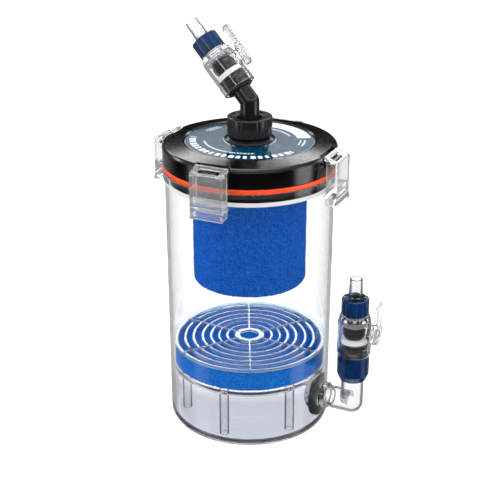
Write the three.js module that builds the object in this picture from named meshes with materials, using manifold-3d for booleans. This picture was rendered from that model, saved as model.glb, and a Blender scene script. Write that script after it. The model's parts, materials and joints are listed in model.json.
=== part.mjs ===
// An external aquarium canister pre-filter. A clear barrel holds a sponge disc between two slotted
// plates. Its latched lid carries a sponge cartridge and the inlet elbow, and the outlet leaves the
// wall near the base. Each hose connection has its own ball valve.
//
// Millimetres, +Z up. The origin is the centre of the barrel's base, and the outlet leaves along +X.

import * as THREE from 'three';
import { mergeVertices } from 'three/addons/utils/BufferGeometryUtils.js';
import Module from 'manifold-3d';

const wasm = await Module();
wasm.setup();

// ---- Driving dimensions ------------------------------------------------------------------------

const GAP = 0.3; // between pieces that touch
const RUNNING_GAP = 0.35; // round a pin or stem that turns
const SIDES = 18; // facets of a small round piece

const BARREL = {
  outerFoot: 74.4, // the wall leans out a little, as a moulded barrel does
  outerRim: 75.4,
  wall: 2.9,
  floor: 5,
  footRound: 9,
  flangeRadius: 77.2,
  flangeFrom: 235,
  height: 246,
  sides: 36,
};

const SEAL = { inner: 71.9, outer: 77.4, height: 4.3 };

const LID = {
  radius: 77.2,
  from: BARREL.height + SEAL.height + 2 * GAP,
  shoulder: 266.4, // where the side meets the rounded top edge
  rimTop: 268.4,
  lipTop: 270.4, // the top rises towards the window
  windowRadius: 57.4,
  ledgeRadius: 62.4, // the window's edge sits below the lip
  skirtOuter: 71.2, // hangs down inside the barrel
  skirtInner: 68,
  skirtFoot: 236.8,
};

const WINDOW = {
  radius: 62,
  from: 264,
  edgeTop: 267,
  faceRadius: 57,
  faceTop: 269.6,
  bossRadius: 21, // threaded for the stem
  bossFoot: 252.2,
};
const LABEL = { inner: 23.4, outer: 56.6, thickness: 0.4 };

const LATCH = {
  count: 4,
  halfWidth: 15,
  inner: 77.9, // back edges of the side walls
  footRise: 1.4, // the bottom edge rises towards the back
  outer: 88,
  foot: 224.8,
  frontTop: 264.4,
  backTop: 268.9,
  back: 75.6, // the sloping top reaches back over the lid's edge
  wall: 2.3,
  thumbLip: 0.9, // the front flares out at the foot
  thumbLipTop: 2.7,
  thumbLipBlend: 6,
  catchFrom: 231.4,
  catchSlope: 1.3, // its underside leads in over the flange
  catchTop: BARREL.flangeFrom - 0.4,
  catchReach: 75.9, // the nose catches 1.3 under the flange
  ribTop: 241,
  pinX: 80.8,
  pinZ: 261.8,
  pinRadius: 1.4,
  slotHalfWidth: 9.8,
  slotFrom: 79,
  slotTo: 85,
};

const NOTCH = { back: 71.4, floor: 257.4, halfWidth: LATCH.halfWidth + 0.5 };
const LUG = { halfWidth: 6.2, headRadius: 3.1, rootRadius: 75.8 };

const STEM = { radius: 16.5, bore: 13, foot: 243 }; // the lid's threaded inlet stem
const STEM_NUT = { acrossCorners: 46, height: 5.5 };
const INLET_FLANGE = { radius: 22.6, from: 270.9, rim: 271.9, top: 274.6, neckRadius: 15, neckTop: 283.8 };
const UNION_NUT = { radius: 19.9, from: 275.5, top: 292, lip: 3.2, flutes: 20, fluteDepth: 0.7 };

const CARTRIDGE = {
  radius: 51,
  from: 140.4,
  top: 243.2,
  coreRadius: 16.2,
  coreInner: 13,
  slots: 6,
  slotWidth: 5,
  trayRadius: 61.5, // a white tray joins it to the lid, and closes off the window from below
  trayRim: 263.4,
  trayWall: 1.6,
  trayFloor: 2.4,
  endCapRadius: 24,
  endKnobFoot: 131.5,
};

const ELBOW_TUBE = 8.5; // outer radius of the lid's elbow, and of the other end that enters a valve
const SPIGOT_LENGTH = 9; // how far such an end goes in
const INLET_ELBOW = {
  foot: 278.1,
  collarFrom: 284.1,
  collarRadius: 13.1, // held down by the union nut's lip
  collarHeight: 4.2,
  bend: 304.9, // height where it turns by 45 degrees
  heading: 170.5, // degrees about +Z from +X, the way it leans
  valveStart: 14.5, // from the bend to the valve body
  wall: 2.3,
};

const DISC = { radius: 70.6, from: 56.8, to: 76 };
const GRILLE = {
  radius: 71.2,
  from: 76.4,
  to: 78.6,
  spokes: 6,
  spokeTurn: 25, // degrees about +Z from -Y
  spokeHalfWidth: 1,
  hole: 8.7,
  slots: [[13.7, 20.5], [23, 32], [34.5, 43.5], [46, 58.5], [62.5, 67.2]],
  knobCircle: 60.5, // each spoke has a pair of knobs, one on either side
  knobSpread: 3,
  knobRadius: 1.6,
  knobHeight: 1.4,
};
const LOWER_PLATE = {
  from: 52.1,
  to: 56.5,
  slots: [[14, 30], [33, 53.5]],
  spokeHalfWidth: 2,
  posts: 6,
  postRadius: 4.3,
  postCircle: 59.6,
  postTurn: 2, // degrees about +Z from -Y
};

const OUTLET = {
  height: 31.5,
  stemRadius: 10.6,
  stemFrom: 59.9,
  portGap: 0.4,
  collarRadius: 12.2,
  collarEnd: 80.6,
  washerRadius: 20,
  washerFace: 66.8,
  nutRadius: 15,
  nutFace: 61.4,
  legX: 103.5, // axis of the upright leg and of the valve on it
  tubeRadius: 10.3,
  tubeBore: 7.9,
  spigotRadius: 7.6,
  spigotBore: 6.2,
  spigotFrom: 65.4,
  valveBase: 82,
  valveTail: 12, // thread below the valve, inside the union nut
  flangeRadius: 12.1, // on the upright leg, drawn up by the union nut
  flangeHeight: 3.2,
};

const LOWER_NUT = {
  radius: 14.4,
  footRadius: 11.9,
  length: 25.5,
  chamfer: 6,
  flutes: 12,
  fluteDepth: 0.3,
  threadRadius: 12.6,
};

// Heights along the valve, from the lower rim of its body.
const VALVE = {
  bodyRadius: 15.4,
  bodyLength: 39,
  shoulder: 32,
  topRadius: 12.7,
  socketRadius: 12.9,
  socketDepth: 12.2,
  cavityRadius: 11.9,
  cavityTop: 33.7,
  neckRadius: 10,
  neckTop: 50.4,
  neckBore: 6.8,
  ballHeight: 23,
  ballRadius: 10.5,
  ballBore: 5,
  seatRadius: 11.6,
  seatTouch: 10.8, // radius of the hollow that the ball turns in
  seatHeight: 4.2,
  carrierFoot: 0.8,
  tailRadius: 12,
  bossRadius: 7.2,
  bossFrom: 13,
  bossFace: 17.2,
  stemRadius: 2.7,
  stemFoot: 8.6,
  hubRadius: 10.3,
  hubFrom: 17.6,
  hubTo: 23.2,
  leverBack: 18.2,
  leverFrom: 2, // above the ball's centre
  leverTip: 52,
  leverHalfWidth: 6.6,
  ridgesFrom: 13, // above the ball's centre
  ridgePitch: 3,
  ridgeWidth: 1.4,
  ridgeHeight: 0.8,
  nutRadius: 12.3,
  nutFrom: 39.4,
  nutTop: 54.8,
  nutFlutes: 12,
  fluteDepth: 0.9,
  nozzleFoot: 44,
  nozzleCollar: 57, // where its collar has narrowed to the base radius
  nozzleTip: 73.5,
  nozzleTipRadius: 5.6,
  nozzleBaseRadius: 6.5,
  nozzleBore: 4.3,
};

// ---- Materials ---------------------------------------------------------------------------------

function finish(colour, roughness, opacity = 1) {
  return new THREE.MeshStandardMaterial({
    color: colour, roughness, metalness: 0, opacity, transparent: opacity < 1,
  });
}

const CLEAR = () => finish(0xe9eef2, 0.08, 0.3);
const BLACK = () => finish(0x141416, 0.3);
const RUBBER = () => finish(0x1b1b1d, 0.7);
const NAVY = () => finish(0x14336b, 0.3);
const SPONGE = () => finish(0x0a5cc8, 0.95);
const ORANGE = () => finish(0xee501c, 0.5);
const WHITE = () => finish(0xdfe4ea, 0.4);
const STEEL = () => new THREE.MeshStandardMaterial({ color: 0xb9bcc0, roughness: 0.3, metalness: 1 });

// ---- Solids ------------------------------------------------------------------------------------

// A closed three.js geometry as a solid that can be cut and joined.
function toSolid(geometry) {
  const bare = geometry.clone();
  bare.deleteAttribute('normal');
  bare.deleteAttribute('uv');
  const merged = mergeVertices(bare, 1e-4);
  const corners = merged.index.array;
  const triangles = [];
  for (let i = 0; i < corners.length; i += 3) {
    const [a, b, c] = [corners[i], corners[i + 1], corners[i + 2]];
    if (a !== b && b !== c && c !== a) triangles.push(a, b, c);
  }
  return new wasm.Manifold(new wasm.Mesh({
    numProp: 3,
    vertProperties: new Float32Array(merged.attributes.position.array),
    triVerts: new Uint32Array(triangles),
  }));
}

function toGeometry(solid) {
  const mesh = solid.getMesh();
  const geometry = new THREE.BufferGeometry();
  geometry.setAttribute('position', new THREE.BufferAttribute(new Float32Array(mesh.vertProperties), 3));
  geometry.setIndex(new THREE.BufferAttribute(new Uint32Array(mesh.triVerts), 1));
  geometry.computeVertexNormals();
  return geometry;
}

// Turns a closed [radius, z] profile about +Z. The profile runs anticlockwise with the axis on its
// left, and either starts and ends on the axis or is closed here.
function turned(profile, sides = SIDES) {
  const points = profile.map(([radius, z]) => new THREE.Vector2(radius, z));
  const onAxis = profile[0][0] === 0;
  if (!onAxis) points.push(points[0].clone());
  return toSolid(new THREE.LatheGeometry(points, sides)).rotate([90, 0, 0]);
}

function cylinder(radius, from, to, sides = SIDES) {
  return turned([[0, from], [radius, from], [radius, to], [0, to]], sides);
}

function ring(inner, outer, from, to, sides = SIDES) {
  return turned([[inner, from], [outer, from], [outer, to], [inner, to]], sides);
}

function ball(radius) {
  return toSolid(new THREE.SphereGeometry(radius, 16, 10));
}

function block(xFrom, xTo, yFrom, yTo, zFrom, zTo) {
  const box = new THREE.BoxGeometry(xTo - xFrom, yTo - yFrom, zTo - zFrom);
  return toSolid(box).translate([(xFrom + xTo) / 2, (yFrom + yTo) / 2, (zFrom + zTo) / 2]);
}

// A closed [x, y] outline raised along +Z.
function raised(outline, from, to) {
  const shape = new THREE.Shape(outline.map(([x, y]) => new THREE.Vector2(x, y)));
  const geometry = new THREE.ExtrudeGeometry(shape, { depth: to - from, bevelEnabled: false });
  return toSolid(geometry).translate([0, 0, from]);
}

// A closed [x, z] outline with thickness along Y, centred on y = 0.
function sideways(outline, halfWidth) {
  return raised(outline, -halfWidth, halfWidth).rotate([90, 0, 0]);
}

const alongX = (solid) => solid.rotate([0, 90, 0]);

function union(...solids) {
  return solids.reduce((whole, piece) => whole.add(piece));
}

function arc(centreX, centreY, radius, fromDegrees, toDegrees, steps) {
  const points = [];
  for (let i = 0; i <= steps; i += 1) {
    const angle = THREE.MathUtils.degToRad(fromDegrees + ((toDegrees - fromDegrees) * i) / steps);
    points.push([centreX + radius * Math.cos(angle), centreY + radius * Math.sin(angle)]);
  }
  return points;
}

const hexagon = (radius) => arc(0, 0, radius, 0, 300, 5);

// The outline of a round nut with shallow finger flutes.
function flutedOutline(radius, depth, flutes) {
  const points = [];
  const steps = flutes * 3;
  for (let i = 0; i < steps; i += 1) {
    const angle = (2 * Math.PI * i) / steps;
    const reach = radius - (depth * (1 + Math.cos(flutes * angle))) / 2;
    points.push([reach * Math.cos(angle), reach * Math.sin(angle)]);
  }
  return points;
}

// Radius of the barrel's outside at a height.
function barrelOuter(z) {
  return THREE.MathUtils.mapLinear(z, 0, BARREL.height, BARREL.outerFoot, BARREL.outerRim);
}

// ---- The object --------------------------------------------------------------------------------

const filter = new THREE.Group();

function add(name, solid, material, parent = filter) {
  const mesh = new THREE.Mesh(toGeometry(solid), material);
  mesh.name = name;
  parent.add(mesh);
}

function barrel() {
  const { footRound, wall, floor, flangeRadius, flangeFrom, height, sides } = BARREL;
  const outerAtRound = barrelOuter(footRound);
  const innerRound = footRound - wall;
  const innerAtFloor = barrelOuter(floor + innerRound) - wall;
  const shell = turned([
    [0, 0],
    ...arc(outerAtRound - footRound, footRound, footRound, -90, 0, 4),
    [barrelOuter(flangeFrom), flangeFrom],
    [flangeRadius, flangeFrom],
    [flangeRadius, height],
    [barrelOuter(height) - wall, height],
    ...arc(innerAtFloor - innerRound, floor + innerRound, innerRound, 0, -90, 3),
    [0, floor],
  ], sides);
  const port = alongX(cylinder(OUTLET.stemRadius + OUTLET.portGap, 60, 90)).translate([0, 0, OUTLET.height]);
  add('barrel', shell.subtract(port), CLEAR());
}

// The six radial strips that cross a slotted plate.
function spokes(count, turn, halfWidth, reach, from, to) {
  const bars = [];
  for (let i = 0; i < count / 2; i += 1) {
    bars.push(block(-halfWidth, halfWidth, -reach, reach, from, to).rotate([0, 0, turn + (360 / count) * i]));
  }
  return union(...bars);
}

function slottedPlate({ radius, from, to, slots, turn, count, spokeHalfWidth, hole }) {
  const sides = 21;
  const below = from - 1;
  const above = to + 1;
  const rings = union(...slots.map(([inner, outer]) => ring(inner, outer, below, above, sides)));
  const cuts = rings.subtract(spokes(count, turn, spokeHalfWidth, radius, below - 1, above + 1));
  return cylinder(radius, from, to, sides).subtract(cuts).subtract(cylinder(hole, below, above));
}

// Turns a solid standing on the -Y side about +Z, once for each place, and joins the copies.
function around(solid, count, turn) {
  const copies = [];
  for (let i = 0; i < count; i += 1) copies.push(solid.rotate([0, 0, turn + (360 / count) * i]));
  return union(...copies);
}

function spongeStage() {
  const { from, to, slots, spokeHalfWidth, posts, postRadius, postCircle, postTurn } = LOWER_PLATE;
  const lowerDisc = slottedPlate({
    from, to, slots, spokeHalfWidth, turn: postTurn, count: posts, radius: GRILLE.radius, hole: GRILLE.hole,
  });
  const post = cylinder(postRadius, BARREL.floor + GAP, from + 1, 10).translate([0, -postCircle, 0]);
  add('lower_plate', lowerDisc.add(around(post, posts, postTurn)), CLEAR());

  const edge = 2;
  add('sponge_disc', turned([
    [0, DISC.from],
    [DISC.radius - edge, DISC.from],
    [DISC.radius, DISC.from + edge],
    [DISC.radius, DISC.to - edge],
    [DISC.radius - edge, DISC.to],
    [0, DISC.to],
  ], 30), SPONGE());

  const { spokes: count, spokeTurn: turn, knobCircle, knobSpread } = GRILLE;
  const grille = slottedPlate({ ...GRILLE, turn, count });
  const knob = cylinder(GRILLE.knobRadius, GRILLE.to - 0.5, GRILLE.to + GRILLE.knobHeight, 6);
  const pair = union(...[-knobSpread, knobSpread].map((x) => knob.translate([x, -knobCircle, 0])));
  add('upper_grille', grille.add(around(pair, count, turn)), CLEAR());
}

// The black lid ring with its notches and latch lugs, the orange seal below it, and its window.
function lid() {
  const sealFrom = BARREL.height + GAP;
  const soft = 1.2;
  add('seal_ring', turned([
    [SEAL.inner, sealFrom],
    [SEAL.outer - soft, sealFrom],
    [SEAL.outer, sealFrom + soft],
    [SEAL.outer, sealFrom + SEAL.height - soft],
    [SEAL.outer - soft, sealFrom + SEAL.height],
    [SEAL.inner, sealFrom + SEAL.height],
  ], BARREL.sides), ORANGE());

  const round = LID.rimTop - LID.shoulder;
  const body = turned([
    [LID.skirtInner, LID.skirtFoot],
    [LID.skirtOuter, LID.skirtFoot],
    [LID.skirtOuter, LID.from],
    [LID.radius, LID.from],
    ...arc(LID.radius - round, LID.shoulder, round, 0, 80, 3),
    [LID.windowRadius + 1.2, LID.lipTop],
    [LID.windowRadius, LID.lipTop - 0.8],
    [LID.windowRadius, WINDOW.edgeTop + GAP],
    [LID.ledgeRadius, WINDOW.edgeTop + GAP],
    [LID.ledgeRadius, LID.from + 2],
    [LID.skirtInner, LID.from],
  ], BARREL.sides);
  const { back, floor, halfWidth } = NOTCH;
  const notch = block(back, LID.radius + 5, -halfWidth, halfWidth, floor, LID.lipTop + 5);
  const { pinX, pinZ, pinRadius } = LATCH;
  const stalk = [
    [LUG.rootRadius, LID.from + 0.6],
    ...arc(pinX, pinZ, LUG.headRadius, -50, 215, 6),
    [LUG.rootRadius + 0.8, floor],
    [LUG.rootRadius, floor],
  ];
  const pinHole = cylinder(pinRadius + GAP, -20, 20, 12).rotate([90, 0, 0]).translate([pinX, 0, pinZ]);
  const lug = sideways(stalk, LUG.halfWidth).subtract(pinHole);
  const turns = Array.from({ length: LATCH.count }, (_, i) => (360 / LATCH.count) * i);
  const notches = union(...turns.map((turn) => notch.rotate([0, 0, turn])));
  const lugs = union(...turns.map((turn) => lug.rotate([0, 0, turn])));
  add('lid_ring', body.subtract(notches).add(lugs), BLACK());

  const threadHole = STEM.radius + RUNNING_GAP;
  add('lid_window', turned([
    [threadHole, WINDOW.bossFoot],
    [WINDOW.bossRadius, WINDOW.bossFoot],
    [WINDOW.bossRadius, WINDOW.from],
    [WINDOW.radius, WINDOW.from],
    [WINDOW.radius, WINDOW.edgeTop],
    [WINDOW.faceRadius, WINDOW.edgeTop],
    [WINDOW.faceRadius, WINDOW.faceTop],
    [threadHole, WINDOW.faceTop],
  ], 24), CLEAR());
  const labelFrom = WINDOW.faceTop + GAP;
  add('lid_label', ring(LABEL.inner, LABEL.outer, labelFrom, labelFrom + LABEL.thickness, 24),
    finish(0x8796aa, 0.25, 0.8));
}

// One latch, made on the +X side: a hollow clip that hangs from its pin in front of the lid's lug.
function latchSolid() {
  const { halfWidth, inner, outer, foot, frontTop, backTop, back, wall } = LATCH;
  const { footRise, thumbLip, thumbLipTop, thumbLipBlend } = LATCH;
  const { catchFrom, catchTop, catchReach, catchSlope, ribTop } = LATCH;
  const { pinX, pinZ, pinRadius, slotHalfWidth } = LATCH;
  const slope = (backTop - frontTop) / (outer - back);
  const topAt = (x) => backTop - slope * (x - back);
  const outline = [
    [inner, foot + footRise],
    [outer + thumbLip, foot],
    [outer + thumbLip, foot + thumbLipTop],
    [outer, foot + thumbLipBlend],
    [outer, frontTop],
    [back, backTop],
    [back, backTop - wall - 0.6],
    [inner, topAt(inner) - wall - 0.8],
    [inner, catchTop],
    [catchReach, catchTop],
    [catchReach, catchFrom + catchSlope],
    [inner, catchFrom],
  ];
  const hollowBack = back - 4;
  const front = outer - wall;
  const upperHollow = sideways([
    [hollowBack, ribTop],
    [front, ribTop],
    [front, topAt(front) - wall],
    [hollowBack, topAt(hollowBack) - wall],
  ], halfWidth - wall);
  const lowerHollow = block(hollowBack, front, wall - halfWidth, halfWidth - wall, foot - 5, catchFrom - 0.2);
  const slot = block(LATCH.slotFrom, LATCH.slotTo, -slotHalfWidth, slotHalfWidth, frontTop - 6, backTop + 2);
  const pinHole = cylinder(pinRadius + RUNNING_GAP, -20, 20, 12)
    .rotate([90, 0, 0]).translate([pinX, 0, pinZ]);
  return sideways(outline, halfWidth)
    .subtract(upperHollow).subtract(lowerHollow).subtract(slot).subtract(pinHole);
}

function latches() {
  const latch = latchSolid();
  const pin = cylinder(LATCH.pinRadius, -LATCH.halfWidth, LATCH.halfWidth, 12)
    .rotate([90, 0, 0]).translate([LATCH.pinX, 0, LATCH.pinZ]);
  for (let i = 0; i < LATCH.count; i += 1) {
    const turn = [0, 0, (360 / LATCH.count) * i];
    add(`latch_${i + 1}`, latch.rotate(turn), CLEAR());
    add(`latch_pin_${i + 1}`, pin.rotate(turn), STEEL());
  }
}

// The bulkhead through the lid, with the parts that clamp it.
function inletBulkhead() {
  const { radius, bore, foot } = STEM;
  const { from, rim, top, neckRadius, neckTop } = INLET_FLANGE;
  add('inlet_bulkhead', turned([
    [bore, foot],
    [radius, foot],
    [radius, from],
    [INLET_FLANGE.radius, from],
    [INLET_FLANGE.radius, rim],
    [neckRadius + 2, top],
    [neckRadius, top],
    [neckRadius, neckTop],
    [ELBOW_TUBE + GAP, neckTop],
    [ELBOW_TUBE + GAP, from],
    [bore, from],
  ]), BLACK());
  const gasketTop = from - GAP;
  add('inlet_gasket', ring(radius + GAP, INLET_FLANGE.radius - 1, WINDOW.faceTop + GAP, gasketTop), RUBBER());

  const nutTop = WINDOW.bossFoot - GAP;
  const nutFoot = nutTop - STEM_NUT.height;
  const nut = raised(hexagon(STEM_NUT.acrossCorners / 2), nutFoot, nutTop)
    .subtract(cylinder(radius + GAP, nutFoot - 1, nutTop + 1));
  add('inlet_locknut', nut, BLACK());

  const outline = flutedOutline(UNION_NUT.radius, UNION_NUT.fluteDepth, UNION_NUT.flutes);
  const lipUnder = UNION_NUT.top - UNION_NUT.lip;
  const nutBody = raised(outline, UNION_NUT.from, UNION_NUT.top)
    .subtract(cylinder(neckRadius + RUNNING_GAP, UNION_NUT.from - 1, lipUnder))
    .subtract(cylinder(ELBOW_TUBE + 2.6, UNION_NUT.from, UNION_NUT.top + 1));
  add('inlet_union_nut', nutBody, BLACK());
}

// The sponge cartridge that hangs below the lid on its core tube.
function cartridge() {
  const { radius, from, top, coreRadius, coreInner, slots, slotWidth, endCapRadius, endKnobFoot } = CARTRIDGE;
  const { trayRadius, trayRim, trayWall, trayFloor } = CARTRIDGE;
  const spigotRadius = STEM.bore - 0.4;
  const core = turned([
    [coreInner, from],
    [coreRadius, from],
    [coreRadius, STEM.foot - GAP],
    [spigotRadius, STEM.foot - GAP],
    [spigotRadius, STEM.foot + 12],
    [10, STEM.foot + 12],
    [10, STEM.foot - 3],
    [coreInner, STEM.foot - 6],
  ]);
  const slot = block(-slotWidth / 2, slotWidth / 2, -coreRadius - 5, 0, from + 18, top - 18);
  add('cartridge_core', core.subtract(around(slot, slots, 0)), WHITE());

  const edge = 2.5;
  add('cartridge_sponge', turned([
    [coreRadius + 0.5, from],
    [radius - edge, from],
    [radius - edge * 0.3, from + edge * 0.3],
    [radius, from + edge],
    [radius, top],
    [coreRadius + 0.5, top],
  ], 30), SPONGE());

  const trayFrom = top + GAP;
  add('cartridge_top_cap', turned([
    [STEM.radius + GAP, trayFrom],
    [trayRadius, trayFrom],
    [trayRadius, trayRim],
    [trayRadius - trayWall, trayRim],
    [trayRadius - trayWall, trayFrom + trayFloor],
    [STEM.radius + GAP, trayFrom + trayFloor],
  ], 24), WHITE());

  const plugRadius = coreInner - 0.4;
  add('cartridge_end_cap', turned([
    [0, endKnobFoot],
    [9, endKnobFoot],
    [10, endKnobFoot + 5],
    [endCapRadius, endKnobFoot + 5.6],
    [endCapRadius, from - GAP],
    [plugRadius, from - GAP],
    [plugRadius, from + 8],
    [0, from + 8],
  ]), WHITE());
}

// A ball valve with its hose nut and nozzle, standing on z = 0 with its lever on the +X side.
// Below z = 0 the seal carrier may go on as a threaded tail.
function ballValve(prefix, parent, tail) {
  const v = VALVE;
  const shell = turned([
    [v.socketRadius, 0],
    [v.bodyRadius, 0],
    [v.bodyRadius, v.shoulder],
    [v.topRadius + 1.4, v.bodyLength - 3],
    [v.topRadius, v.bodyLength],
    [v.neckRadius, v.bodyLength],
    [v.neckRadius, v.neckTop],
    [v.neckBore, v.neckTop],
    [v.neckBore, v.bodyLength - 1],
    [v.ballBore, v.bodyLength - 2],
    [v.ballBore, v.cavityTop],
    [v.cavityRadius, v.cavityTop],
    [v.cavityRadius, v.socketDepth],
    [v.socketRadius, v.socketDepth],
  ]);
  const boss = alongX(cylinder(v.bossRadius, v.bossFrom, v.bossFace)).translate([0, 0, v.ballHeight]);
  const stemHole = alongX(cylinder(v.stemRadius + RUNNING_GAP, 9, 20, 16)).translate([0, 0, v.ballHeight]);
  const cavity = cylinder(v.cavityRadius, v.socketDepth, v.cavityTop);
  const body = shell.add(boss.subtract(cavity)).subtract(stemHole);
  add(`${prefix}_valve_body`, body, CLEAR(), parent);

  const bore = cylinder(v.ballBore, -20, 20, 16);
  const stemPocket = alongX(cylinder(v.stemRadius + GAP, v.stemFoot - GAP, 20, 16));
  const core = ball(v.ballRadius).subtract(bore).subtract(stemPocket).translate([0, 0, v.ballHeight]);
  add(`${prefix}_ball`, core, finish(0x3a3a3e, 0.2), parent);

  const seatCut = ball(v.seatTouch).translate([0, 0, v.ballHeight]);
  const seatFrom = v.socketDepth + 0.2;
  const lowerSeat = ring(v.ballBore + 0.2, v.seatRadius, seatFrom, seatFrom + v.seatHeight).subtract(seatCut);
  add(`${prefix}_lower_seat`, lowerSeat, WHITE(), parent);
  const seatTop = v.cavityTop - 0.2;
  const upperSeat = ring(v.ballBore + 0.2, v.seatRadius, seatTop - v.seatHeight, seatTop).subtract(seatCut);
  add(`${prefix}_upper_seat`, upperSeat, WHITE(), parent);

  const carrierRadius = v.socketRadius - GAP;
  const carrierTop = v.socketDepth - 0.1;
  let carrier = ring(ELBOW_TUBE + GAP, carrierRadius, v.carrierFoot, carrierTop);
  if (tail > 0) carrier = carrier.add(ring(ELBOW_TUBE + GAP, v.tailRadius, -tail, v.carrierFoot + 1));
  add(`${prefix}_seal_carrier`, carrier, BLACK(), parent);

  const { hubFrom, hubTo, leverBack, leverFrom, leverHalfWidth, ridgeWidth, ridgeHeight } = v;
  const stem = cylinder(v.stemRadius, v.stemFoot, hubFrom + 1, 16);
  const hub = alongX(cylinder(v.hubRadius, hubFrom, hubTo).add(stem));
  const leverEnd = v.leverTip - v.ballHeight;
  const lever = block(leverBack, hubTo, -leverHalfWidth, leverHalfWidth, leverFrom, leverEnd);
  const ridges = [];
  for (let z = v.ridgesFrom; z + ridgeWidth < leverEnd; z += v.ridgePitch) {
    ridges.push(block(hubTo - 0.5, hubTo + ridgeHeight, -leverHalfWidth, leverHalfWidth, z, z + ridgeWidth));
  }
  const handle = union(hub, lever, ...ridges).translate([0, 0, v.ballHeight]);
  add(`${prefix}_handle`, handle, CLEAR(), parent);

  const lipFrom = v.neckTop + 2.6;
  const hoseNut = raised(flutedOutline(v.nutRadius, v.fluteDepth, v.nutFlutes), v.nutFrom, v.nutTop)
    .subtract(cylinder(v.neckRadius + RUNNING_GAP, v.nutFrom - 1, lipFrom))
    .subtract(cylinder(v.nozzleBaseRadius + 1.3, v.nutFrom, v.nutTop + 1));
  add(`${prefix}_hose_nut`, hoseNut, NAVY(), parent);

  add(`${prefix}_nozzle`, turned([
    [v.nozzleBore, v.nozzleFoot],
    [v.neckBore - GAP, v.nozzleFoot],
    [v.neckBore - GAP, v.neckTop + GAP],
    [v.neckRadius - 0.3, v.neckTop + GAP],
    [v.neckRadius - 0.3, lipFrom - GAP],
    [v.nozzleBaseRadius + 0.6, lipFrom - GAP],
    [v.nozzleBaseRadius, v.nozzleCollar],
    [v.nozzleTipRadius, v.nozzleTip],
    [v.nozzleBore, v.nozzleTip],
  ]), CLEAR(), parent);
}

// The black elbow that stands in the lid's union nut and leans over to the inlet valve. Along its
// upper half, +Z is the flow and +X is the side that the valve's lever is on.
function inletElbow() {
  const e = INLET_ELBOW;
  const heading = THREE.MathUtils.degToRad(e.heading);
  const lean = Math.SQRT1_2;
  const flow = new THREE.Vector3(lean * Math.cos(heading), lean * Math.sin(heading), lean);
  const side = new THREE.Vector3(Math.sin(heading), -Math.cos(heading), 0);
  const upper = new THREE.Vector3().crossVectors(side, flow);
  const leverSide = side.clone().add(upper).normalize();
  const across = new THREE.Vector3().crossVectors(flow, leverSide);
  const branch = new THREE.Group();
  branch.matrixAutoUpdate = false;
  branch.matrix.makeBasis(leverSide, across, flow).setPosition(0, 0, e.bend);
  filter.add(branch);

  // A round bar bent at one sharp corner, from the elbow's foot to its upper end.
  const bentBar = (radius, beyond) => union(
    cylinder(radius, e.foot - beyond, e.bend),
    ball(radius).translate([0, 0, e.bend]),
    cylinder(radius, 0, e.valveStart + SPIGOT_LENGTH + beyond)
      .rotate([0, 45, e.heading]).translate([0, 0, e.bend]),
  );
  const collar = cylinder(e.collarRadius, e.collarFrom, e.collarFrom + e.collarHeight);
  const elbow = bentBar(ELBOW_TUBE, 0).add(collar).subtract(bentBar(ELBOW_TUBE - e.wall, 2));
  add('inlet_elbow', elbow, BLACK());

  const valve = new THREE.Group();
  valve.position.z = e.valveStart;
  branch.add(valve);
  add('inlet_o_ring', ring(ELBOW_TUBE + GAP, VALVE.cavityRadius + GAP, -1.7, -GAP), RUBBER(), valve);
  ballValve('inlet', valve, 0);
}

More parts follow.
